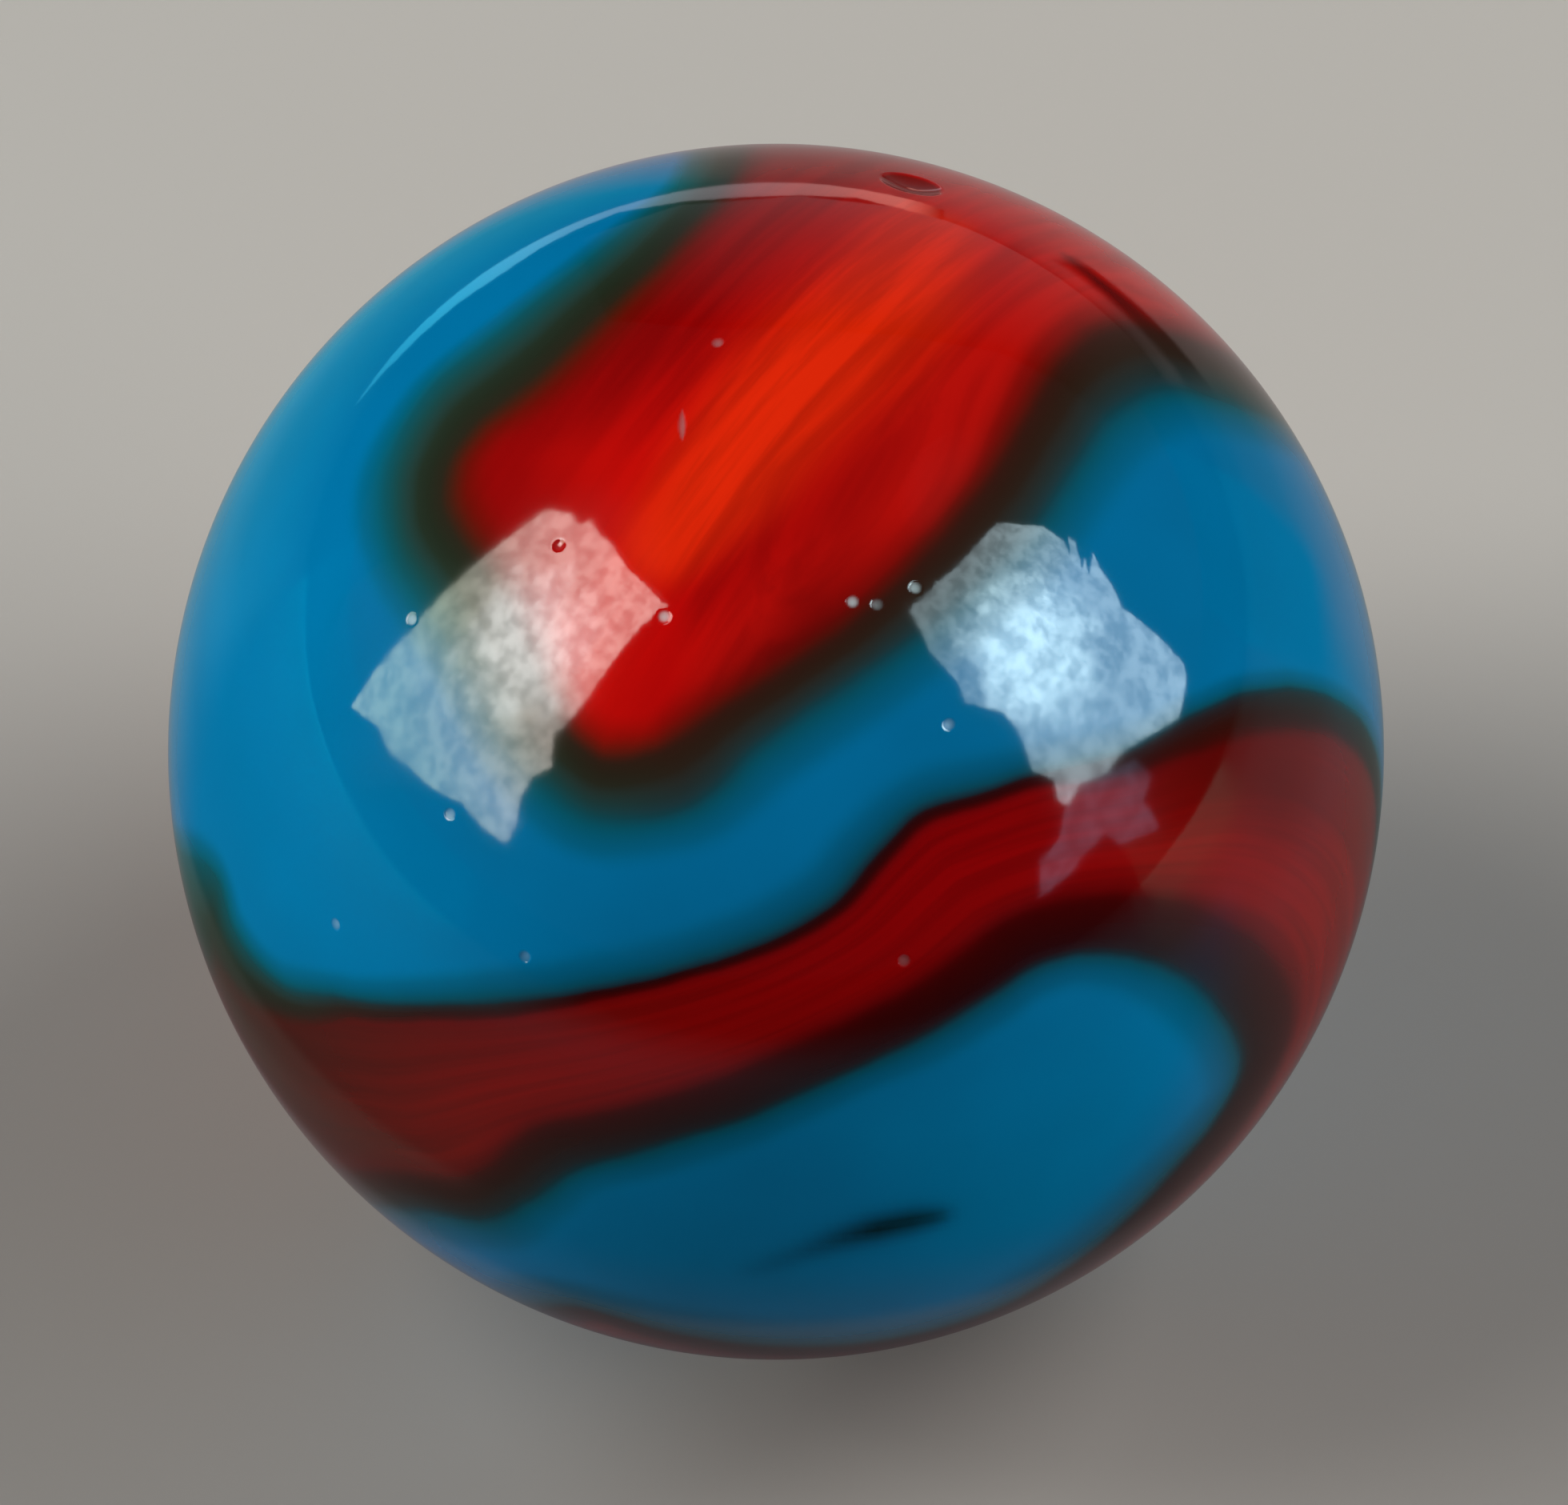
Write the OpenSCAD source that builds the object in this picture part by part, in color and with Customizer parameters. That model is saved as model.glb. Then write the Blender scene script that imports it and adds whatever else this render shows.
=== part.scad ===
// Glass playing marble: one ball of opaque swirled glass, worn by play.
// Millimetres, +Z up, with the origin at the centre of the ball.

/* [Ball] */
// Diameter of the ball
ball_d = 16; // [12:0.5:35]

/* [Chip] */
// Width of the chip's mouth
chip_w = 0.85; // [0.4:0.05:3]
// Depth of the chip below its rim
chip_depth = 0.1; // [0.04:0.01:0.3]
// Turn of the chip about +Z, in degrees from +X
chip_turn = 67; // [-180:1:180]
// Tilt of the chip above the equator, in degrees
chip_tilt = 56; // [-80:1:80]

/* [Pits] */
// Width of a play pit's mouth
pit_w = 0.16; // [0.1:0.02:0.5]
// Depth of a play pit below its rim
pit_depth = 0.03; // [0.02:0.01:0.1]

/* [Scratch] */
// Length of the scratch along the surface
scratch_l = 0.5; // [0.3:0.05:1.2]
// Width of the scratch at its middle
scratch_w = 0.1; // [0.04:0.02:0.2]
// Depth of the scratch at its middle
scratch_depth = 0.04; // [0.02:0.01:0.08]
// Turn of the scratch about +Z, in degrees from +X
scratch_turn = -140; // [-180:1:180]
// Tilt of the scratch above the equator, in degrees
scratch_tilt = 79; // [-80:1:84]
// Twist of the scratch about its own place, in degrees from level
scratch_twist = -40; // [-90:1:90]

/* [Hidden] */

blue_glass = [0, 0.47, 0.67];
ball_r = ball_d / 2;

// Where play has pitted the glass: turn about +Z and tilt above the equator
pit_places = [
    [-74, 64.6],
    [-69.3, 63.8],
    [-60.5, 64],
    [-64.5, 51.7],
    [-138, 21],
    [-116.5, 29],
    [-76.5, 32],
    [-130, 38],
    [-139, 63.5],
    [159, 84.4],
    [-112, 62.5],
    [-150, 49],
];

// The ball and its dished cutters are true spheres; this sets how fine they are drawn
$fn = 96;

// Radius of the arc that spans a mouth of this width and dips to this depth below it
function arc_r(mouth, depth) = (pow(mouth / 2, 2) + pow(depth, 2)) / (2 * depth);

// Distance from the ball's centre to the centre of that arc
function arc_x(mouth, depth) =
    sqrt(pow(ball_r, 2) - pow(mouth / 2, 2)) - depth + arc_r(mouth, depth);

// Carries a cutter from +X to its place on the ball
module at_place(turn, tilt, twist = 0) {
    rotate([twist, -tilt, turn]) children();
}

// Cutter for a round dish: the scar that a knock leaves in glass
module dish(mouth, depth) {
    translate([arc_x(mouth, depth), 0, 0]) sphere(r = arc_r(mouth, depth));
}

// Cutter for a scratch: a sharp-edged wheel that dips into the surface
module wheel(length, width, depth) {
    wheel_r = arc_r(length, depth);
    half_w = width / 2 * wheel_r / depth;
    translate([arc_x(length, depth), 0, 0])
        rotate_extrude() polygon([[0, -half_w], [wheel_r, 0], [0, half_w]]);
}

module marble() {
    color(blue_glass) difference() {
        sphere(d = ball_d);
        at_place(chip_turn, chip_tilt) dish(chip_w, chip_depth);
        for (place = pit_places) at_place(place[0], place[1]) dish(pit_w, pit_depth);
        at_place(scratch_turn, scratch_tilt, scratch_twist) wheel(scratch_l, scratch_w, scratch_depth);
    }
}

marble();
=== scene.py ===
"""Glass playing marble: opaque blue glass with a red ribbon swirled through it, worn by play."""
import math

import bpy
import numpy as np
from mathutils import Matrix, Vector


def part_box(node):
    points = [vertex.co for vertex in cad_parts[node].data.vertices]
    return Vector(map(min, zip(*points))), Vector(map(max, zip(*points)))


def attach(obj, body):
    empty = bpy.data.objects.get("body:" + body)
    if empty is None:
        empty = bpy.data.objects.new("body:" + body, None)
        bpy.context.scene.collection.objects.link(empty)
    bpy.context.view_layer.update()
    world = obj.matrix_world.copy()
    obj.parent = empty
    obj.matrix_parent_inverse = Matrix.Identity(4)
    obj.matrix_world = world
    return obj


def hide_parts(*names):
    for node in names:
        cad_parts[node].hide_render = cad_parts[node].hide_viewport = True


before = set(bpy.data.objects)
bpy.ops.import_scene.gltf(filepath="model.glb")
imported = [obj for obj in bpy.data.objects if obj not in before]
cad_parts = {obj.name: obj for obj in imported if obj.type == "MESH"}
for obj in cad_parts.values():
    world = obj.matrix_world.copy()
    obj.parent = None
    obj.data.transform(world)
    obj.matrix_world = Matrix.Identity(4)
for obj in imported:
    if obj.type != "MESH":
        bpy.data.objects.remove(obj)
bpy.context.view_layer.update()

# The photograph's frame in its own pixels: its size, and the ball's middle and radius in it
PHOTO_W = 1960
PHOTO_H = 1881
BALL_X = 970.0
BALL_Y = 939.5
BALL_PX = 760.0

# The camera's height as an angle, and its distance in ball radii
CAMERA_LIFT = math.radians(52)
CAMERA_RADII = 15.0

low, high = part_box("marble")
RADIUS = (high.z - low.z) / 2

RIGHT = np.array([1.0, 0.0, 0.0])
TOWARD = np.array([0.0, -math.cos(CAMERA_LIFT), math.sin(CAMERA_LIFT)])
UP = np.array([0.0, math.sin(CAMERA_LIFT), math.cos(CAMERA_LIFT)])
FOCAL_PX = BALL_PX * math.sqrt(CAMERA_RADII ** 2 - 1)

# The wear, in metres and in degrees of turn about +Z and tilt above the equator, as in the CAD
CHIP_W = 0.00085
CHIP_DEPTH = 0.0001
CHIP_PLACE = (67, 56)
PIT_W = 0.00016
PIT_DEPTH = 0.00003
PIT_PLACES = (
    (-74, 64.6), (-69.3, 63.8), (-60.5, 64), (-64.5, 51.7), (-138, 21), (-116.5, 29),
    (-76.5, 32), (-130, 38), (-139, 63.5), (159, 84.4), (-112, 62.5), (-150, 49),
)
# How pale each pit is: frost where the glass is worn, and at the last two pits, beside the left lamp's
# reflection, painted glints
PIT_FROST_AND_GLINT = (1.0, 0.4, 0.7, 0.4, 0.4, 0.25, 0.2, 0.4, 0.06, 0.3, 0.9, 0.8)
SCRATCH_FROST = 0.4
SCRATCH_L = 0.0005
SCRATCH_W = 0.0001
SCRATCH_DEPTH = 0.00004
SCRATCH_PLACE = (-140, 79)
SCRATCH_TWIST = -40

# How finely the ball is cut: all over in two rounds, and once more at the wear and this far round it
BALL_CUTS = (9, 10)
WORN_CUTS = 5
WORN_MARGIN = 0.00012

# Points to each span of the ribbon's edge and of a stroke, and the shares that the ball is worked out in
EDGE_STEPS = 12
STROKE_STEPS = 24
CHUNKS = 16

# The floor's radius and corners, and the width and height of the sloping wall round it
FLOOR_R = 0.55
FLOOR_SIDES = 160
FLOOR_WALL_W = 0.05
FLOOR_WALL_H = 0.1
# How far out from the ball the floor's mirrored colours run
POLISH_SPAN = 0.4

# Distance of the lamps from the ball, and their width
LAMP_REACH = 0.4
LAMP_W = 0.23
# Distance of the strips of light from the ball, and their steps lengthwise
TOP_LINE_REACH = 0.12
FAR_GLOW_REACH = 0.3
STRIP_STEPS = 84

# Width of the camera's sensor in millimetres, which its lens is measured against
SENSOR_W = 36


def unit(v):
    """A vector's direction."""
    return v / np.linalg.norm(v)


def sight(x, y):
    """Direction of the line of sight through a place in the photograph."""
    return unit((x - BALL_X) / FOCAL_PX * RIGHT - (y - BALL_Y) / FOCAL_PX * UP - TOWARD)


def on_ball(x, y, far):
    """Where a line of sight meets a ball of radius 1, on its near or its far side."""
    ray = sight(x, y)
    eye = CAMERA_RADII * TOWARD
    middle = -eye @ ray
    half = math.sqrt(max(middle ** 2 - (CAMERA_RADII ** 2 - 1), 0))
    return unit(eye + (middle + half if far else middle - half) * ray)


def front(x, y):
    """The place on the ball's near side that lies at a place in the photograph."""
    return on_ball(x, y, False)


def back(x, y):
    """The place on the ball's far side that lies behind a place in the photograph."""
    return on_ball(x, y, True)


def rib(left, right, rind, fade, green, glow):
    """One rib across the ribbon: its left and right end, and how red its middle glows. The pairs say, for
    each end, how wide the dark rind is inside it, how far it fades into the blue, and how green it is."""
    return left, right, rind, fade, green, glow


# The ribbon, rib by rib from its rounded end to its tail, with widths in the photograph's pixels
RIBBON = (
    rib(front(728, 1016), front(775, 1024), (92, 92), (70, 70), (0.8, 0.7), 1),
    rib(front(655, 957), front(820, 1020), (90, 98), (65, 65), (0.9, 0.6), 1),
    rib(front(565, 803), front(862, 1006), (110, 102), (60, 70), (1, 0.5), 1),
    rib(front(488, 672), front(905, 972), (106, 90), (65, 80), (1, 0.5), 1),
    rib(front(484, 592), front(945, 932), (130, 76), (75, 85), (1, 0.5), 1),
    rib(front(532, 495), front(1008, 888), (152, 72), (56, 85), (1, 0.5), 1),
    rib(front(638, 405), front(1092, 832), (145, 72), (52, 85), (1, 0.5), 1),
    rib(front(748, 316), front(1190, 757), (114, 88), (45, 85), (1, 0.5), 1),
    rib(front(840, 238), front(1290, 660), (88, 100), (30, 90), (1, 0.5), 1),
    rib(front(870, 190), front(1352, 565), (75, 102), (30, 95), (1, 0.5), 1),
    rib(back(845, 210), front(1392, 515), (80, 112), (40, 100), (1, 0.5), 1),
    rib(back(800, 265), front(1450, 485), (90, 128), (45, 100), (1, 0.5), 1),
    rib(back(740, 340), front(1528, 499), (90, 132), (45, 90), (1, 0.5), 1),
    rib(back(660, 435), front(1590, 520), (90, 125), (45, 80), (0.9, 0.5), 1),
    rib(back(560, 560), back(1500, 650), (90, 90), (45, 60), (0.7, 0.5), 0.95),
    rib(back(430, 730), back(1260, 860), (90, 90), (45, 60), (0.6, 0.4), 0.9),
    rib(back(320, 890), back(970, 1080), (100, 90), (45, 60), (0.7, 0.4), 0.75),
    rib(back(245, 1000), back(720, 1285), (140, 90), (45, 60), (0.8, 0.4), 0.5),
    rib(front(221, 1060), back(580, 1410), (190, 80), (50, 50), (0.9, 0.4), 0.25),
    rib(front(272, 1098), back(490, 1480), (170, 70), (50, 45), (0.9, 0.4), 0.1),
    rib(front(292, 1160), front(452, 1497), (130, 70), (60, 80), (0.9, 0.35), 0.05),
    rib(front(345, 1224), front(535, 1513), (62, 82), (48, 105), (0.7, 0.3), 0.1),
    rib(front(430, 1248), front(612, 1522), (32, 88), (44, 90), (0.4, 0.3), 0.25),
    rib(front(520, 1255), front(662, 1500), (26, 82), (48, 65), (0.2, 0.3), 0.4),
    rib(front(620, 1254), front(720, 1461), (25, 90), (60, 60), (0.15, 0.2), 0.55),
    rib(front(740, 1239), front(830, 1429), (16, 76), (65, 65), (0, 0.1), 0.7),
    rib(front(860, 1212), front(960, 1384), (15, 75), (70, 58), (0, 0.05), 0.85),
    rib(front(960, 1177), front(1070, 1333), (17, 73), (70, 55), (0, 0), 0.95),
    rib(front(1040, 1130), front(1160, 1290), (19, 76), (70, 62), (0, 0), 1),
    rib(front(1100, 1063), front(1235, 1244), (21, 80), (70, 68), (0, 0), 1),
    rib(front(1150, 1017), front(1290, 1207), (20, 84), (65, 62), (0, 0), 1),
    rib(front(1215, 994), front(1345, 1191), (18, 84), (60, 60), (0, 0), 1),
    rib(front(1300, 967), front(1405, 1191), (20, 88), (50, 65), (0, 0), 0.93),
    rib(front(1400, 943), front(1460, 1207), (32, 96), (45, 75), (0.1, 0), 0.87),
    rib(front(1490, 895), front(1505, 1238), (54, 108), (36, 85), (0.15, 0), 0.82),
    rib(front(1560, 868), front(1540, 1280), (60, 118), (34, 90), (0.2, 0), 0.82),
    rib(front(1630, 863), front(1552, 1340), (60, 130), (34, 95), (0.2, 0), 0.84),
    rib(front(1690, 890), front(1518, 1404), (54, 140), (34, 110), (0.2, 0), 0.84),
    rib(front(1722, 950), front(1466, 1466), (52, 130), (40, 150), (0.2, 0), 0.76),
    rib(back(1722, 1050), front(1374, 1556), (60, 110), (40, 150), (0.2, 0), 0.7),
    rib(back(1670, 1180), front(1244, 1638), (60, 100), (40, 170), (0.2, 0), 0.6),
    rib(back(1560, 1330), front(1100, 1677), (60, 90), (40, 170), (0.2, 0), 0.6),
    rib(back(1400, 1460), front(980, 1684), (60, 80), (40, 170), (0.2, 0), 0.6),
    rib(back(1200, 1550), front(850, 1668), (60, 70), (40, 160), (0.2, 0), 0.6),
    rib(back(980, 1610), front(722, 1634), (50, 60), (40, 120), (0.2, 0.1), 0.6),
    rib(back(790, 1640), back(675, 1630), (40, 40), (40, 80), (0.2, 0.1), 0.6),
)

# Strokes laid over the glass: places along each one, with its half width there and its strength
ORANGE_CORE = (
    (1165, 285, 66, 0.7), (1120, 360, 84, 1.0), (1060, 425, 90, 1.0),
    (980, 505, 84, 1.0), (905, 595, 72, 1.0), (830, 680, 48, 0.9),
)
DARK_STREAK = ((1150, 440, 20, 0.3), (1060, 555, 22, 0.5), (983, 663, 22, 0.6), (885, 750, 22, 0.5))
WISP = (
    (940, 1588, 18, 0.12), (1000, 1567, 21, 0.36), (1050, 1549, 25, 0.7), (1095, 1536, 28, 1.0),
    (1140, 1526, 27, 1.0), (1170, 1521, 19, 0.85),
)
BULB_SHADE = (
    (1455, 985, 45, 0.55), (1515, 958, 60, 0.95), (1600, 970, 75, 0.95),
    (1670, 1000, 65, 0.65), (1705, 1060, 50, 0.4),
)
# Painted reflection: a dark stroke in the red glass near the upper right rim, in place of a mirrored dark
# edge
RIM_PAINTED_REFLECTION = ((1335, 322, 12, 0.6), (1370, 350, 18, 1.0), (1400, 375, 22, 1.0), (1435, 408, 22, 0.9))
TONGUE_SHADE = ((1130, 690, 40, 0.2), (1030, 775, 48, 0.75), (950, 845, 46, 0.6), (860, 905, 40, 0.4))

# The line that the streaks in the ribbon's broad end run along
STREAK_TOP = (1240, 300)
STREAK_FOOT = (860, 700)

# The outlines of the highlights, as they lie in the photograph
LEFT_LIGHT = (
    (684, 636), (712, 642), (726, 655), (738, 650), (752, 672), (764, 680), (785, 711), (836, 757),
    (812, 772), (775, 815), (738, 868), (712, 900), (692, 918), (689, 958), (665, 972), (650, 998),
    (646, 1030), (632, 1054), (605, 1035), (578, 1003), (540, 985), (515, 962), (488, 940),
    (473, 908), (440, 883), (470, 838), (512, 790), (540, 758), (588, 711), (637, 671),
)
RIGHT_LIGHT = (
    (1246, 654), (1303, 658), (1330, 677), (1337, 695), (1336, 670), (1344, 678), (1353, 713),
    (1356, 696), (1361, 720), (1366, 690), (1374, 708), (1390, 733), (1403, 760), (1453, 800),
    (1480, 830), (1483, 853), (1473, 897), (1440, 917), (1410, 933), (1393, 953), (1373, 980),
    (1343, 1010), (1323, 1000), (1317, 973), (1290, 963), (1283, 937), (1273, 913), (1253, 890),
    (1207, 877), (1197, 853), (1167, 820), (1137, 763), (1160, 740), (1186, 717), (1211, 692),
)
DIM_LIGHT = (
    (1330, 1015), (1350, 980), (1390, 962), (1420, 950), (1440, 970), (1428, 1000), (1450, 1035),
    (1400, 1055), (1380, 1042), (1355, 1068), (1338, 1092), (1300, 1122), (1300, 1075),
    (1324, 1048),
)
# The brightest spot of each highlight and how far it spreads
LEFT_HOT = (662, 806, 80)
RIGHT_HOT = (1287, 818, 78)
DIM_HOT = (1340, 1060, 120)
# The edges of the faint glow near the far rim and of the bright line along it
FAR_GLOW_OUTER = ((720, 300), (850, 256), (1000, 245), (1150, 262), (1300, 318), (1400, 385), (1470, 450))
FAR_GLOW_INNER = ((760, 400), (880, 410), (1000, 410), (1130, 420), (1250, 440), (1330, 480), (1390, 530))
TOP_LINE_OUTER = (
    (388, 556), (416, 501), (452, 449), (500, 396), (551, 350), (604, 312), (658, 280), (711, 255),
    (768, 237), (850, 226), (930, 219), (1000, 217), (1070, 220), (1130, 231), (1182, 247),
)
TOP_LINE_INNER = (
    (396, 556), (436, 517), (477, 468), (524, 421), (572, 379), (623, 345), (674, 311), (721, 286),
    (774, 265), (853, 252), (930, 246), (1000, 244), (1070, 247), (1128, 261), (1178, 275),
)
# How bright each strip is, from its left end to its right
TOP_LINE_LEVELS = (0.0, 0.6, 0.8, 0.9, 1.0, 1.0, 0.95, 0.8, 0.68, 0.66, 0.68, 0.72, 0.85, 0.95, 0.0)
FAR_GLOW_LEVELS = (0.0, 0.8, 1.0, 1.0, 0.8, 0.0)


def blend(a, b, start, end, t):
    """The point at t on the line that passes a at start and b at end."""
    return ((end - t) * a + (t - start) * b) / (end - start)


def smooth_line(points, closed, steps):
    """Points along a smooth curve on the ball through given ones, and their places in that list."""
    count = len(points)
    spans = count if closed else count - 1
    out, places = [], []
    for i in range(spans):
        if closed:
            four = [points[(i + k) % count] for k in (-1, 0, 1, 2)]
        else:
            four = [points[min(max(i + k, 0), count - 1)] for k in (-1, 0, 1, 2)]
        knots = [0.0]
        for a, b in zip(four, four[1:]):
            knots.append(knots[-1] + max(np.linalg.norm(b - a), 1e-6) ** 0.5)
        for step in range(steps):
            share = step / steps
            t = knots[1] + share * (knots[2] - knots[1])
            layer = four
            for width in (1, 2):
                pairs = enumerate(zip(layer, layer[1:]))
                layer = [blend(a, b, knots[k], knots[k + width], t) for k, (a, b) in pairs]
            out.append(unit(blend(*layer, knots[1], knots[2], t)))
            places.append(i + share)
    return np.array(out), np.array(places)


def ribbon_samples():
    """The ribbon's closed edge as points, each with its direction, reach, side and the ribs' values."""
    lefts = [r[0] for r in RIBBON]
    rights = [r[1] for r in RIBBON]
    middles = [unit(a + b) for a, b in zip(lefts, rights)]
    strides = [np.linalg.norm(b - a) for a, b in zip(middles, middles[1:])]
    station = np.concatenate([[0], np.cumsum(strides)])
    points, places = smooth_line(lefts + rights[::-1], True, EDGE_STEPS)
    values = np.array(
        [[r[2][0], r[3][0], r[4][0], s, r[5]] for s, r in zip(station, RIBBON)]
        + [[r[2][1], r[3][1], r[4][1], s, r[5]] for s, r in zip(station[::-1], RIBBON[::-1])]
    )
    values[:, :2] /= BALL_PX
    values = np.vstack([values, values[:1]])
    values = np.stack([np.interp(places, range(len(values)), column) for column in values.T], 1)
    run = np.roll(points, -1, 0) - np.roll(points, 1, 0)
    reach = np.linalg.norm(run, axis=1) / 2
    run /= 2 * reach[:, None]
    half = len(RIBBON)
    is_left = (places < half - 0.5) | (places >= 2 * half - 0.5)
    return points, run, reach, is_left, values


def ribbon_fields(normals):
    """For each point of the ball: its depth in the ribbon and in the red, and the ribs' values there."""
    points, run, reach, is_left, values = ribbon_samples()
    fields = []
    for chunk in np.array_split(normals, CHUNKS):
        gap = np.maximum(2 - 2 * chunk @ points.T, 1e-12)
        nearest = gap.argmin(1)
        inside = np.einsum("ij,ij->i", np.cross(run[nearest], chunk - points[nearest]), chunk) < 0
        sign = np.where(inside, 1, -1)
        sides = []
        for side in (is_left, ~is_left):
            own = np.flatnonzero(side)
            near = own[gap[:, own].argmin(1)]
            offset = chunk - points[near]
            slide = np.clip((offset * run[near]).sum(1), -reach[near], reach[near])
            off_line = offset - slide[:, None] * run[near]
            pull = (gap[np.arange(len(chunk)), near][:, None] / gap[:, own]) ** 4
            sides.append((np.linalg.norm(off_line, axis=1), pull @ values[own] / pull.sum(1)[:, None]))
        (d_left, v_left), (d_right, v_right) = sides
        left_share = (d_right / (d_left + d_right + 1e-9))[:, None]
        steep = left_share ** 2 / (left_share ** 2 + (1 - left_share) ** 2)
        edge = sign * np.minimum(d_left, d_right)
        near_side = steep * v_left[:, :3] + (1 - steep) * v_right[:, :3]
        red = np.minimum(d_left - v_left[:, 0], d_right - v_right[:, 0])
        red = np.where(inside, red, edge - near_side[:, 0])
        between = left_share * v_left[:, 3:] + (1 - left_share) * v_right[:, 3:]
        fields.append(np.hstack([edge[:, None], red[:, None], near_side, between, 1 - left_share]))
    names = ("edge", "red", "rind", "fade", "green", "along", "glow", "across")
    return dict(zip(names, np.vstack(fields).T))


def stroke_field(normals, stroke, steep):
    """How strongly each point of the ball lies under a soft stroke."""
    points, places = smooth_line([front(x, y) for x, y, _, _ in stroke], False, STROKE_STEPS)
    half = np.interp(places, range(len(stroke)), [s[2] / BALL_PX for s in stroke])
    strength = np.interp(places, range(len(stroke)), [s[3] for s in stroke])
    field = []
    for chunk in np.array_split(normals, CHUNKS):
        gap = np.maximum(2 - 2 * chunk @ points.T, 0)
        field.append((strength * np.exp(-(gap / half ** 2) ** steep)).max(1))
    return np.concatenate(field)


def place_axes(turn, tilt, twist=0.0):
    """Outward direction at a place on the ball, and the two level directions there."""
    a, b, c = (math.radians(v) for v in (turn, tilt, twist))
    out = np.array([math.cos(b) * math.cos(a), math.cos(b) * math.sin(a), math.sin(b)])
    east = np.array([-math.sin(a), math.cos(a), 0.0])
    north = np.cross(out, east)
    return out, math.cos(c) * east + math.sin(c) * north, math.cos(c) * north - math.sin(c) * east


def arc_radius(mouth, depth):
    """Radius of the arc that spans a mouth of this width and dips to this depth below it."""
    return ((mouth / 2) ** 2 + depth ** 2) / (2 * depth)


def arc_reach(mouth, depth):
    """Distance from the ball's centre to the centre of that arc."""
    return math.sqrt(RADIUS ** 2 - (mouth / 2) ** 2) - depth + arc_radius(mouth, depth)


def dished(co, place, mouth, depth):
    """Sinks the points that lie in a round dish to the dish's floor."""
    out, _, _ = place_axes(*place)
    ball = np.linalg.norm(co, axis=1)
    normals = co / ball[:, None]
    reach, arc = arc_reach(mouth, depth), arc_radius(mouth, depth)
    along = reach * (normals @ out)
    room = along ** 2 - reach ** 2 + arc ** 2
    hit = (room > 0) & (along > 0)
    floor_r = along - np.sqrt(np.where(hit, room, 0))
    return normals * np.where(hit, np.minimum(ball, floor_r), ball)[:, None]


def scratched(co):
    """Sinks the points that lie in the scratch to its sharp groove."""
    out, run, side = place_axes(*SCRATCH_PLACE, SCRATCH_TWIST)
    ball = np.linalg.norm(co, axis=1)
    normals = co / ball[:, None]
    lengthwise, across, height = co @ run, co @ side, co @ out
    arc, reach = arc_radius(SCRATCH_L, SCRATCH_DEPTH), arc_reach(SCRATCH_L, SCRATCH_DEPTH)
    wheel = arc * (1 - np.abs(across) / (SCRATCH_W / 2 * arc / SCRATCH_DEPTH))
    groove = reach - np.sqrt(np.maximum(wheel ** 2 - lengthwise ** 2, 0))
    hit = (height > 0) & (np.abs(lengthwise) < SCRATCH_L) & (np.abs(across) < SCRATCH_W)
    drop = np.where(hit, np.maximum(height - groove, 0), 0)
    return normals * (ball - drop)[:, None]


def co_of(mesh):
    """A mesh's points as an array of rows."""
    co = np.empty(len(mesh.vertices) * 3)
    mesh.vertices.foreach_get("co", co)
    return co.reshape(-1, 3)


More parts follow.
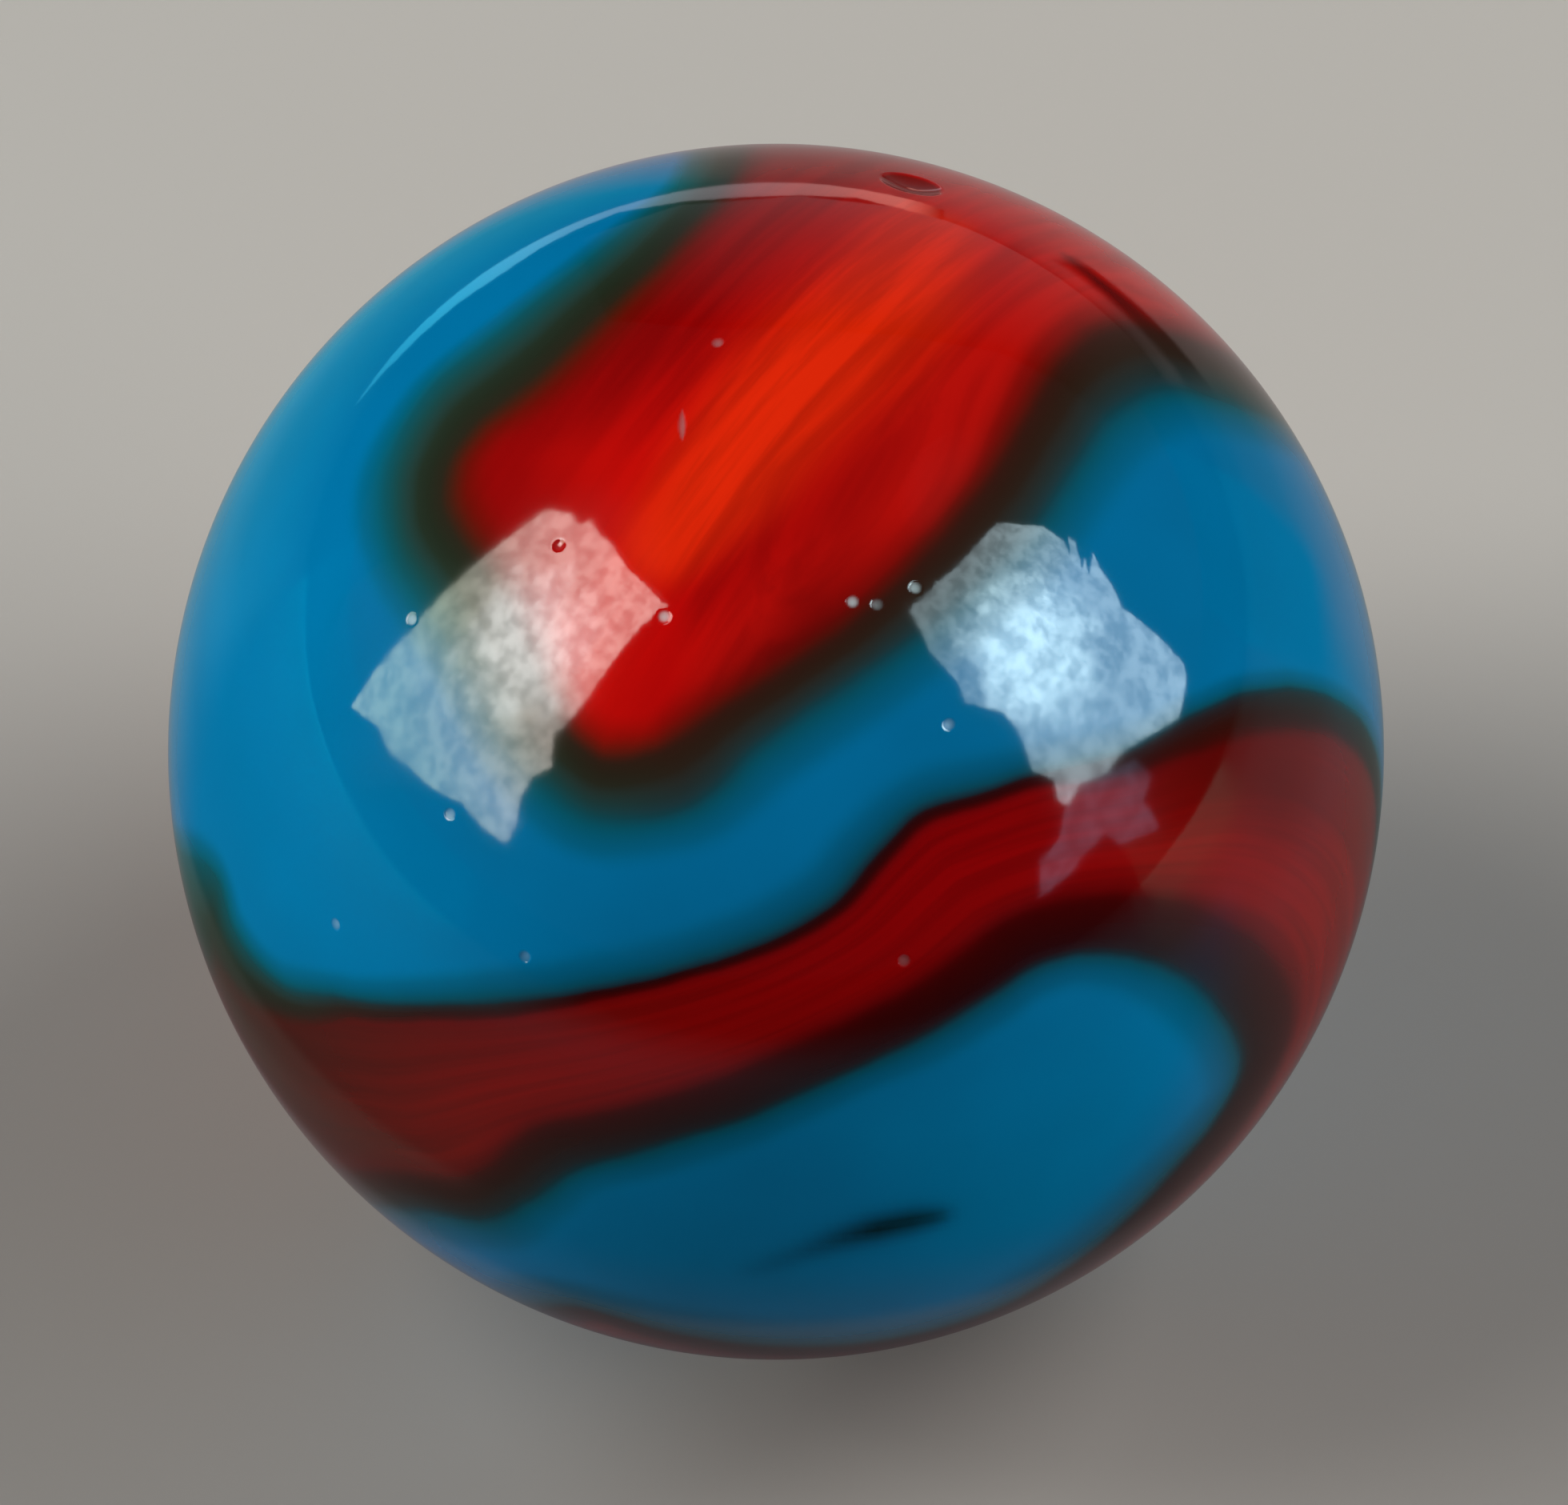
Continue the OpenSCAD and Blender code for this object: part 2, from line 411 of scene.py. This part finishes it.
def marble_glass():
    """The ball: a cube cut fine, cast round, cut finer where it is worn, and sunk there."""
    bpy.ops.object.select_all(action="DESELECT")
    bpy.ops.mesh.primitive_cube_add(size=2 * RADIUS)
    ball = bpy.context.object
    ball.name = ball.data.name = "marble_glass"
    bpy.ops.object.mode_set(mode="EDIT")
    bpy.ops.mesh.select_all(action="SELECT")
    for cuts in BALL_CUTS:
        bpy.ops.mesh.subdivide(number_cuts=cuts)
    bpy.ops.object.mode_set(mode="OBJECT")
    cast = ball.modifiers.new("round", "CAST")
    cast.cast_type = "SPHERE"
    cast.factor = 1
    cast.size = RADIUS
    cast.use_radius_as_size = False
    bpy.ops.object.modifier_apply(modifier=cast.name)

    worn = [(CHIP_PLACE, CHIP_W), (SCRATCH_PLACE, SCRATCH_L)] + [(p, PIT_W) for p in PIT_PLACES]
    mesh = ball.data
    bpy.context.tool_settings.mesh_select_mode = (False, False, True)
    centres = np.empty(len(mesh.polygons) * 3)
    mesh.polygons.foreach_get("center", centres)
    centres = centres.reshape(-1, 3)
    near = np.zeros(len(centres), bool)
    for place, mouth in worn:
        gap = np.linalg.norm(centres - RADIUS * place_axes(*place)[0], axis=1)
        near |= gap < 0.6 * mouth + WORN_MARGIN
    bpy.ops.object.mode_set(mode="EDIT")
    bpy.ops.mesh.select_all(action="DESELECT")
    bpy.ops.object.mode_set(mode="OBJECT")
    mesh.polygons.foreach_set("select", near)
    bpy.ops.object.mode_set(mode="EDIT")
    bpy.ops.mesh.subdivide(number_cuts=WORN_CUTS)
    bpy.ops.mesh.select_all(action="SELECT")
    bpy.ops.mesh.normals_make_consistent(inside=False)
    bpy.ops.object.mode_set(mode="OBJECT")

    co = co_of(mesh)
    normals = co / np.linalg.norm(co, axis=1)[:, None]
    co = dished(normals * RADIUS, CHIP_PLACE, CHIP_W, CHIP_DEPTH)
    chip = (RADIUS - np.linalg.norm(co, axis=1)) / CHIP_DEPTH
    # How pale each point is: frost in the worn pits and the scratch, and painted glints at two pits
    frost = np.zeros(len(co))
    for place, share in zip(PIT_PLACES, PIT_FROST_AND_GLINT):
        sunk = dished(normals * RADIUS, place, PIT_W, PIT_DEPTH)
        frost += share * (RADIUS - np.linalg.norm(sunk, axis=1)) / PIT_DEPTH
        co = dished(co, place, PIT_W, PIT_DEPTH)
    sunk = scratched(normals * RADIUS)
    frost += SCRATCH_FROST * (RADIUS - np.linalg.norm(sunk, axis=1)) / SCRATCH_DEPTH
    co = scratched(co)
    mesh.vertices.foreach_set("co", co.ravel())
    mesh.update()
    bpy.ops.object.shade_smooth()

    fields = ribbon_fields(normals)
    fields["core"] = stroke_field(normals, ORANGE_CORE, 1.7)
    fields["streak"] = stroke_field(normals, DARK_STREAK, 1.0)
    fields["wisp"] = stroke_field(normals, WISP, 1.0)
    # Darker red in the bulb and along the tongue's lower edge, and the painted reflection near the upper
    # right rim
    fields["shade"] = np.max(
        [stroke_field(normals, stroke, 1.2) for stroke in (BULB_SHADE, RIM_PAINTED_REFLECTION, TONGUE_SHADE)], axis=0
    )
    fields["chip"] = chip
    fields["frost"] = frost
    for name, field in fields.items():
        mesh.attributes.new(name, "FLOAT", "POINT").data.foreach_set("value", field.astype(np.float32))
    return ball


def tint(red, green, blue):
    """A colour as the eye reads it, 0 to 255, turned into the light that a shader works in."""
    shares = [v / 255 for v in (red, green, blue)]
    return tuple(c / 12.92 if c <= 0.04045 else ((c + 0.055) / 1.055) ** 2.4 for c in shares) + (1.0,)


class Wire:
    """One output in a material's node tree. Sums written with wires add their Math nodes."""

    def __init__(self, tree, socket=None):
        self.tree = tree
        self.socket = socket

    def node(self, kind, settings=None, inputs=None, output=0):
        """Adds a node, sets its settings and then its sockets' values or links, and gives one output."""
        made = self.tree.nodes.new(kind)
        for key, value in (settings or {}).items():
            if key == "stops":
                ramp = made.color_ramp.elements
                while len(ramp) < len(value):
                    ramp.new(1.0)
                for element, (place, colour) in zip(ramp, value):
                    element.position = place
                    element.color = colour
            else:
                setattr(made, key, value)
        for key, value in (inputs or {}).items():
            if isinstance(value, Wire):
                self.tree.links.new(value.socket, made.inputs[key])
            else:
                made.inputs[key].default_value = value
        return Wire(self.tree, None if output is None else made.outputs[output])

    def sum(self, operation, other):
        """A Math node that starts from this value."""
        return self.node("ShaderNodeMath", {"operation": operation}, {0: self, 1: other})

    def __add__(self, other):
        return self.sum("ADD", other)

    def __sub__(self, other):
        return self.sum("SUBTRACT", other)

    def __mul__(self, other):
        return self.sum("MULTIPLY", other)

    def __truediv__(self, other):
        return self.sum("DIVIDE", other)

    def field(self, name):
        """A value that the mesh's points carry."""
        return self.node("ShaderNodeAttribute", {"attribute_name": name}, output="Fac")

    def ease(self, start, end):
        """0 before start, 1 after end and smooth between."""
        return self.node(
            "ShaderNodeMapRange",
            {"interpolation_type": "SMOOTHSTEP"},
            {"Value": self, "From Min": start, "From Max": end},
        )

    def held(self):
        """Kept between 0 and 1."""
        return self.node("ShaderNodeClamp", None, {"Value": self})

    def ramp(self, *stops):
        """The colour between stops that this value falls at."""
        return self.node("ShaderNodeValToRGB", {"stops": stops}, {"Fac": self})

    def mix(self, a, b):
        """Colour a where this is 0, colour b where it is 1."""
        return self.node("ShaderNodeMix", {"data_type": "RGBA"}, {0: self, 6: a, 7: b}, output=2)

    def vector(self, operation, inputs=None, output="Vector"):
        """A Vector Math node that starts from this vector."""
        inputs = {0: self, **(inputs or {})}
        return self.node("ShaderNodeVectorMath", {"operation": operation}, inputs, output)

    def dot(self, other):
        return self.vector("DOT_PRODUCT", {1: other}, "Value")

    def scaled(self, share):
        """This colour or vector times a share."""
        return self.vector("SCALE", {"Scale": share})

    def noise(self, scale, detail=2.0, roughness=0.5):
        """Cloudy values about 0.5 over this vector."""
        inputs = {"Vector": self, "Scale": scale, "Detail": detail, "Roughness": roughness}
        return self.node("ShaderNodeTexNoise", None, inputs)


def new_material(name):
    """An empty material, and a wire to start its nodes from."""
    material = bpy.data.materials.new(name)
    material.use_nodes = True
    material.node_tree.nodes.clear()
    return material, Wire(material.node_tree)


def show(surface):
    """Makes this shader what the material shows."""
    surface.node("ShaderNodeOutputMaterial", None, {"Surface": surface}, output=None)


def swirl_glass():
    """Polished opaque glass: blue, with the dark-edged red ribbon flowing through it."""
    material, make = new_material("swirl_glass")
    place = make.node("ShaderNodeTexCoord", output="Object")
    px = 1 / BALL_PX
    edge, red, rind, fade = (make.field(n) for n in ("edge", "red", "rind", "fade"))
    along, across, glow, green = (make.field(n) for n in ("along", "across", "glow", "green"))
    flow = make.node("ShaderNodeCombineXYZ", None, {"X": along * 1.6, "Y": across * 17.0})
    waver = place.noise(900.0, 3.0) - 0.5
    top, foot = front(*STREAK_TOP), front(*STREAK_FOOT)
    lengthwise = unit(foot - top)
    sideways = np.cross(unit(top + foot), lengthwise)
    line = {"X": place.dot(lengthwise) * 260.0, "Y": place.dot(sideways) * 3300.0}
    lines = make.node("ShaderNodeCombineXYZ", None, line)
    wound = along.ease(1.3, 1.7)
    grain = lines.noise(1.0, 4.0, 0.55) * 0.65 + lines.noise(0.35, 2.0) * 0.35
    wound_grain = flow.noise(1.0, 4.0, 0.55) * 0.65 + flow.noise(0.35, 2.0) * 0.35
    grain = grain + (wound_grain - grain) * wound

    cloud = place.noise(260.0, 3.0)
    blue = cloud.ramp((0.3, tint(0, 117, 170)), (0.7, tint(0, 127, 185)))
    blue = make.field("wisp").mix(blue, tint(2, 14, 24))

    outside = ((edge + waver * (10 * px)) / fade * -1.0).held()
    depth = ((red + waver * (10 * px)) / rind * -1.0).held() * 0.5 + outside * 0.5
    green_rind = depth.ramp(
        (0.0, tint(70, 22, 6)), (0.075, tint(56, 33, 17)), (0.15, tint(44, 41, 28)),
        (0.225, tint(37, 46, 32)), (0.29, tint(37, 52, 39)), (0.35, tint(36, 66, 60)),
        (0.42, tint(25, 77, 77)), (0.49, tint(13, 88, 98)), (0.6, tint(5, 100, 122)),
        (0.75, tint(2, 109, 146)), (0.88, tint(0, 116, 162)), (1.0, tint(0, 121, 173)),
    )
    maroon_rind = depth.ramp(
        (0.0, tint(107, 4, 9)), (0.12, tint(76, 2, 4)), (0.22, tint(65, 4, 5)),
        (0.32, tint(57, 7, 9)), (0.4, tint(51, 11, 15)), (0.46, tint(46, 24, 30)),
        (0.5, tint(30, 44, 54)), (0.575, tint(10, 84, 106)), (0.65, tint(3, 96, 130)),
        (0.75, tint(1, 105, 147)), (0.88, tint(0, 113, 160)), (1.0, tint(0, 121, 173)),
    )
    body = outside.ease(0.5, 1.0).mix(green.mix(maroon_rind, green_rind), blue)

    tongue = across.ramp(
        (0.1, tint(138, 4, 4)), (0.3, tint(166, 6, 5)), (0.44, tint(226, 14, 6)),
        (0.58, tint(236, 10, 5)), (0.72, tint(252, 26, 15)), (0.9, tint(246, 28, 16)),
    )
    band = across.ramp(
        (0.0, tint(150, 0, 3)), (0.35, tint(166, 0, 3)), (0.7, tint(156, 3, 4)), (1.0, tint(132, 7, 6)),
    )
    tone = green.mix(band, tongue)
    tone = make.field("core").mix(tone, tint(252, 45, 8))
    tone = (make.field("streak") * 0.6).mix(tone, tint(176, 3, 3))
    dull = grain.ease(0.6, 0.38) * (along.ease(0.35, 0.8) * 0.26 + 0.1)
    tone = dull.mix(tone, tint(96, 0, 2))
    # Darker red where those strokes lie, including the painted dark reflection near the upper right rim
    tone = make.field("shade").mix(tone, tint(112, 3, 3))
    tone = glow.mix(tint(58, 24, 14), tone)
    soft = rind * 0.28 + 6 * px
    body = ((red + waver * (10 * px)) / soft).ease(-1.0, 1.0).mix(body, tone)

    frost = make.field("frost").held()
    # Painted shade: the chip's hollow is painted dark red-brown, in place of the shade and missing
    # reflection in it
    body = (make.field("chip").ease(0.0, 0.35) * 0.65).mix(body, tint(80, 18, 12))
    # Pale frost in the worn pits and the scratch, and painted glints at the two pits beside the left lamp's
    # reflection
    body = (frost * 0.6).mix(body, tint(196, 220, 224))

    ripple = place.noise(6000.0, 1.0)
    level = (frost * 8.0).held() * 0.85
    facing = make.node("ShaderNodeNewGeometry", output="Normal")
    facings = {0: level, 4: facing, 5: place.vector("NORMALIZE")}
    faced = make.node("ShaderNodeMix", {"data_type": "VECTOR"}, facings, output=1)
    bump = make.node(
        "ShaderNodeBump", None, {"Strength": 1.0, "Distance": 3e-7, "Height": ripple, "Normal": faced}
    )
    rough = place.noise(400.0, 2.0).ease(0.3, 0.8) * 0.04 + 0.04 + frost * 0.5
    polish = {"Base Color": body, "Roughness": rough, "IOR": 1.5, "Normal": bump}
    show(make.node("ShaderNodeBsdfPrincipled", None, polish))
    return material


def painted_floor_reflection(right, away, reach):
    """Painted reflection: the floor as the ball's polish mirrors it, painted in dim colours laid over one
    another where soft masks say. Right, away and reach are a place's distances on the floor from the spot
    below the ball."""
    share = reach * (1 / POLISH_SPAN)
    all_round = share.ramp(
        (0.022, (0.3, 0.28, 0.27, 1.0)), (0.04, (0.22, 0.38, 0.37, 1.0)), (0.06, (0.12, 0.52, 0.58, 1.0)),
        (0.085, (0.05, 0.44, 0.48, 1.0)), (0.15, (0.02, 0.36, 0.39, 1.0)), (0.3, (0.01, 0.16, 0.18, 1.0)),
        (0.75, (0.0, 0.02, 0.02, 1.0)),
    )
    ahead = share.ramp(
        (0.02, (0.1, 0.09, 0.09, 1.0)), (0.03, (0.02, 0.08, 0.08, 1.0)), (0.075, (0.0, 0.11, 0.12, 1.0)),
        (0.15, (0.0, 0.15, 0.18, 1.0)), (0.3, (0.01, 0.06, 0.07, 1.0)), (0.6, (0.02, 0.02, 0.02, 1.0)),
    )
    behind = share.ramp(
        (0.05, (0.42, 0.36, 0.35, 1.0)), (0.1, (0.33, 0.28, 0.27, 1.0)), (0.25, (0.22, 0.18, 0.18, 1.0)),
        (0.75, (0.08, 0.07, 0.07, 1.0)),
    )
    corner = share.ramp(
        (0.05, (0.27, 0.28, 0.25, 1.0)), (0.1, (0.09, 0.19, 0.17, 1.0)), (0.25, (0.02, 0.12, 0.13, 1.0)),
        (0.75, (0.01, 0.04, 0.05, 1.0)),
    )
    foot_mask = reach.ease(0.0088, 0.0076)
    low_left_mask = right.ease(-0.008, -0.0105) * reach.ease(0.0142, 0.0128)
    ahead = foot_mask.mix(ahead, (0.2, 0.19, 0.2, 1.0))
    ahead = low_left_mask.mix(ahead, (0.12, 0.2, 0.18, 1.0))

    ahead_mask = (away + right * 0.5).ease(0.002, -0.005)
    ahead_right_mask = right.ease(0.002, 0.008) * away.ease(-0.005, -0.012) * reach.ease(0.05, 0.025)
    left_mask = right.ease(-0.012, -0.02) * away.ease(0.016, 0.006) * 0.6
    far_left_mask = (right + reach * 0.8).ease(0.0, -0.02) * right.ease(-0.03, -0.08) * ahead_mask
    behind_mask = (away - right * 1.2).ease(-0.002, 0.008) * right.ease(-0.012, -0.002)
    corner_mask = (away - right * 0.45).ease(-0.001, 0.004) * right.ease(0.002, 0.008)
    gap_mask = (away - right * 1.15).ease(0.0, 0.008) * (right * 2.5 - away).ease(0.0, 0.008)
    gap_mask = gap_mask * reach.ease(0.0505, 0.0575) * reach.ease(0.125, 0.085)
    right_mask = right.ease(0.004, 0.012) * (away - right * 0.6).ease(0.006, -0.002) * 0.45
    right_rim_mask = (right * 0.85 - away).ease(0.0, 0.006) * (away - right * 0.3).ease(0.0, 0.004)
    right_rim_mask = right_rim_mask * reach.ease(0.022, 0.036)
    far_right_mask = right.ease(0.04, 0.1) * away.ease(0.004, -0.012)
    far_right_mask = far_right_mask * (away + right * 0.45).ease(-0.002, 0.006)
    far_right_mask = far_right_mask * (right + away * 1.2).ease(0.38, 0.26)

    layers = (
        (left_mask, (0.01, 0.1, 0.11, 1.0)),
        (right_mask, (0.05, 0.06, 0.04, 1.0)),
        (ahead_mask, ahead),
        (ahead_right_mask, (0.0, 0.34, 0.52, 1.0)),
        (far_left_mask, (0.0, 0.5, 0.7, 1.0)),
        (corner_mask, corner),
        (behind_mask, behind),
        (gap_mask, (0.01, 0.01, 0.01, 1.0)),
        (right_rim_mask, (0.0, 0.3, 0.5, 1.0)),
        (far_right_mask, (0.08, 0.37, 0.28, 1.0)),
    )
    colour = all_round
    for mask, laid in layers:
        colour = mask.mix(colour, laid)
    return colour


def pale_floor():
    """The pale floor, a wide disc with a low wall round it so that low views end on it too."""
    bpy.ops.object.select_all(action="DESELECT")
    bpy.ops.mesh.primitive_circle_add(
        vertices=FLOOR_SIDES, radius=FLOOR_R, fill_type="NGON", location=(0, 0, -RADIUS)
    )
    floor = bpy.context.object
    floor.name = floor.data.name = "floor"
    bpy.ops.object.mode_set(mode="EDIT")
    bpy.ops.mesh.select_all(action="SELECT")
    bpy.ops.mesh.inset(thickness=FLOOR_WALL_W, depth=0)
    bpy.ops.object.mode_set(mode="OBJECT")
    for vertex in floor.data.vertices:
        if vertex.co.length > FLOOR_R - FLOOR_WALL_W / 2:
            vertex.co.z = FLOOR_WALL_H
    floor.data.update()
    bpy.ops.object.shade_smooth()
    material, make = new_material("pale_floor")
    place = make.node("ShaderNodeTexCoord", output="Object")
    right = make.node("ShaderNodeSeparateXYZ", None, {"Vector": place}, output="X")
    away = make.node("ShaderNodeSeparateXYZ", None, {"Vector": place}, output="Y")
    reach = place.vector("LENGTH", output="Value")
    # Painted light: near the ball the floor is painted lighter behind it and darker in front of it
    colour = away.ease(0.003, 0.012).mix(tint(174, 170, 165), tint(199, 196, 190))
    colour = reach.ease(0.03, 0.08).mix(colour, tint(190, 187, 181))
    # Painted reflection: the ball's polish sees the floor in the painted colours below, not in its own
    polish_ray = make.node("ShaderNodeLightPath", output="Is Glossy Ray")
    colour = polish_ray.mix(colour, painted_floor_reflection(right, away, reach))
    show(make.node("ShaderNodeBsdfPrincipled", None, {"Base Color": colour, "Roughness": 0.9, "IOR": 1.2}))
    floor.data.materials.append(material)


def mirrored(x, y):
    """Where the ball mirrors the line of sight at a place in the photograph: start and direction."""
    ray, point = sight(x, y), front(x, y)
    return point * RADIUS, unit(ray - 2 * (ray @ point) * point)


def glowing(panel, light):
    """Gives a panel its light, and lets only the ball's polish see it."""
    show(light)
    panel.data.materials.append(bpy.data.materials[panel.name])
    panel.visible_camera = False
    panel.visible_diffuse = False
    panel.visible_shadow = False


def light_panel(name, outline, hot, inner, left, right):
    """A glowing panel cut to the shape of one highlight: cloudy, with one colour round its brightest spot
    and one for each end."""
    hot_x, hot_y, hot_px = hot
    rays = [mirrored(x, y) for x, y in outline + ((hot_x, hot_y), (hot_x + hot_px, hot_y))]
    facing = unit(sum(d for _, d in rays))
    places = [p + d * ((LAMP_REACH - p @ facing) / (d @ facing)) for p, d in rays]
    bpy.ops.object.select_all(action="DESELECT")
    bpy.ops.mesh.primitive_circle_add(vertices=len(outline), radius=0.1, fill_type="NGON")
    panel = bpy.context.object
    panel.name = panel.data.name = name
    panel.data.vertices.foreach_set("co", np.array(places[:-2]).ravel())
    panel.data.update()
    _, make = new_material(name)
    place = make.node("ShaderNodeTexCoord", output="Object")
    start = places[outline.index(min(outline))]
    axis = places[outline.index(max(outline))] - start
    axis /= axis @ axis
    edge = (place.dot(axis) - start @ axis).ease(0.15, 0.65).mix(left, right)
    gap = place.vector("DISTANCE", {1: places[-2]}, "Value") / np.linalg.norm(places[-1] - places[-2])
    cold = (gap + place.noise(30.0, 4.0) * 1.2 - 0.6).ease(0.4, 1.3)
    clouds = place.noise(40.0, 6.0, 0.75).ease(0.4, 0.6) * 0.6 + 0.7
    colour = cold.mix(inner, edge).scaled(clouds)
    glowing(panel, make.node("ShaderNodeEmission", None, {"Color": colour}))


def light_strip(name, outer, inner, reach, levels, inner_share, start, end):
    """A glowing strip that curves round behind the ball and is mirrored near its rim. Start and end are its
    colours there, and the inner share is how bright its inner edge is beside its outer one."""
    along = np.linspace(0, 1, STRIP_STEPS + 1)
    seen = []
    for line in (outer, inner):
        x, y = np.array(line).T
        knots = np.linspace(0, 1, len(line))
        seen += zip(np.interp(along, knots, x), np.interp(along, knots, y))
    bpy.ops.object.select_all(action="DESELECT")
    bpy.ops.mesh.primitive_grid_add(x_subdivisions=STRIP_STEPS, y_subdivisions=1, size=0.1)
    strip = bpy.context.object
    strip.name = strip.data.name = name
    places = [p + d * reach for p, d in (mirrored(x, y) for x, y in seen)]
    strip.data.vertices.foreach_set("co", np.array(places).ravel())
    level = np.interp(along, np.linspace(0, 1, len(levels)), levels)
    fields = {"level": np.concatenate([level, level * inner_share]), "along": np.tile(along, 2)}
    for field, values in fields.items():
        strip.data.attributes.new(field, "FLOAT", "POINT").data.foreach_set("value", values)
    strip.data.update()
    _, make = new_material(name)
    colour = make.field("along").ease(0.2, 1.0).mix(start, end).scaled(make.field("level"))
    glowing(strip, make.node("ShaderNodeEmission", None, {"Color": colour}))


def soft_lamp(name, turn, tilt, level, colour):
    """A large soft lamp that lights the ball and the floor but isn't mirrored. One lamp of level 1 shows a
    colour that faces it as it is."""
    lamp = bpy.data.lights.new(name, "AREA")
    lamp.shape = "DISK"
    lamp.size = LAMP_W
    lamp.energy = level * (math.pi * LAMP_REACH) ** 2
    lamp.color = colour
    holder = bpy.data.objects.new(name, lamp)
    bpy.context.scene.collection.objects.link(holder)
    holder.location = LAMP_REACH * place_axes(turn, tilt)[0]
    holder.rotation_mode = "QUATERNION"
    holder.rotation_quaternion = holder.location.to_track_quat("Z", "Y")
    holder.visible_camera = False
    holder.visible_glossy = False


def camera():
    """The camera at the photograph's viewing angle, framed as it is."""
    view = bpy.data.cameras.new("camera")
    view.sensor_width = SENSOR_W
    view.lens = SENSOR_W * FOCAL_PX / PHOTO_W
    view.shift_x = (PHOTO_W / 2 - BALL_X) / PHOTO_W
    view.shift_y = (BALL_Y - PHOTO_H / 2) / PHOTO_W
    view.clip_start = 0.001
    view.clip_end = 10
    holder = bpy.data.objects.new("camera", view)
    bpy.context.scene.collection.objects.link(holder)
    holder.location = tuple(TOWARD * CAMERA_RADII * RADIUS)
    holder.rotation_mode = "QUATERNION"
    holder.rotation_quaternion = holder.location.to_track_quat("Z", "Y")
    bpy.context.scene.camera = holder


def surroundings():
    """A plain dim studio all round."""
    world = bpy.data.worlds.new("studio")
    bpy.context.scene.world = world
    world.use_nodes = True
    backdrop = world.node_tree.nodes["Background"]
    backdrop.inputs["Color"].default_value = tint(40, 40, 42)
    backdrop.inputs["Strength"].default_value = 1.0


ball = marble_glass()
ball.data.materials.append(swirl_glass())
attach(ball, "root")
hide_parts("marble")

pale_floor()
light_panel(
    "left_light", LEFT_LIGHT, LEFT_HOT,
    (12.5, 12.5, 12.0, 1.0), (3.6, 4.7, 3.3, 1.0), (7.0, 6.2, 5.6, 1.0),
)
light_panel(
    "right_light", RIGHT_LIGHT, RIGHT_HOT,
    (11.5, 15.5, 16.5, 1.0), (2.9, 3.8, 4.1, 1.0), (4.7, 6.1, 6.7, 1.0),
)
light_panel(
    "dim_light", DIM_LIGHT, DIM_HOT,
    (0.5, 0.8, 1.2, 1.0), (0.4, 0.6, 0.9, 1.0), (0.4, 0.6, 0.9, 1.0),
)
light_strip(
    "top_line", TOP_LINE_OUTER, TOP_LINE_INNER, TOP_LINE_REACH, TOP_LINE_LEVELS, 1.0,
    (0.2, 1.9, 2.5, 1.0), (1.9, 0.8, 0.65, 1.0),
)
light_strip(
    "far_glow", FAR_GLOW_OUTER, FAR_GLOW_INNER, FAR_GLOW_REACH, FAR_GLOW_LEVELS, 0.0,
    (0.2, 0.26, 0.28, 1.0), (0.28, 0.24, 0.22, 1.0),
)
soft_lamp("left_low", 178, 16, 0.66, (1.0, 1.0, 0.98))
soft_lamp("left_high", 180, 54, 0.3, (1.0, 0.99, 0.97))
soft_lamp("right_high", 18, 50, 0.4, (1.0, 0.99, 0.97))
soft_lamp("right_low", 343, 16, 0.32, (0.97, 0.99, 1.0))
camera()
surroundings()
bpy.context.scene.view_settings.view_transform = "Standard"
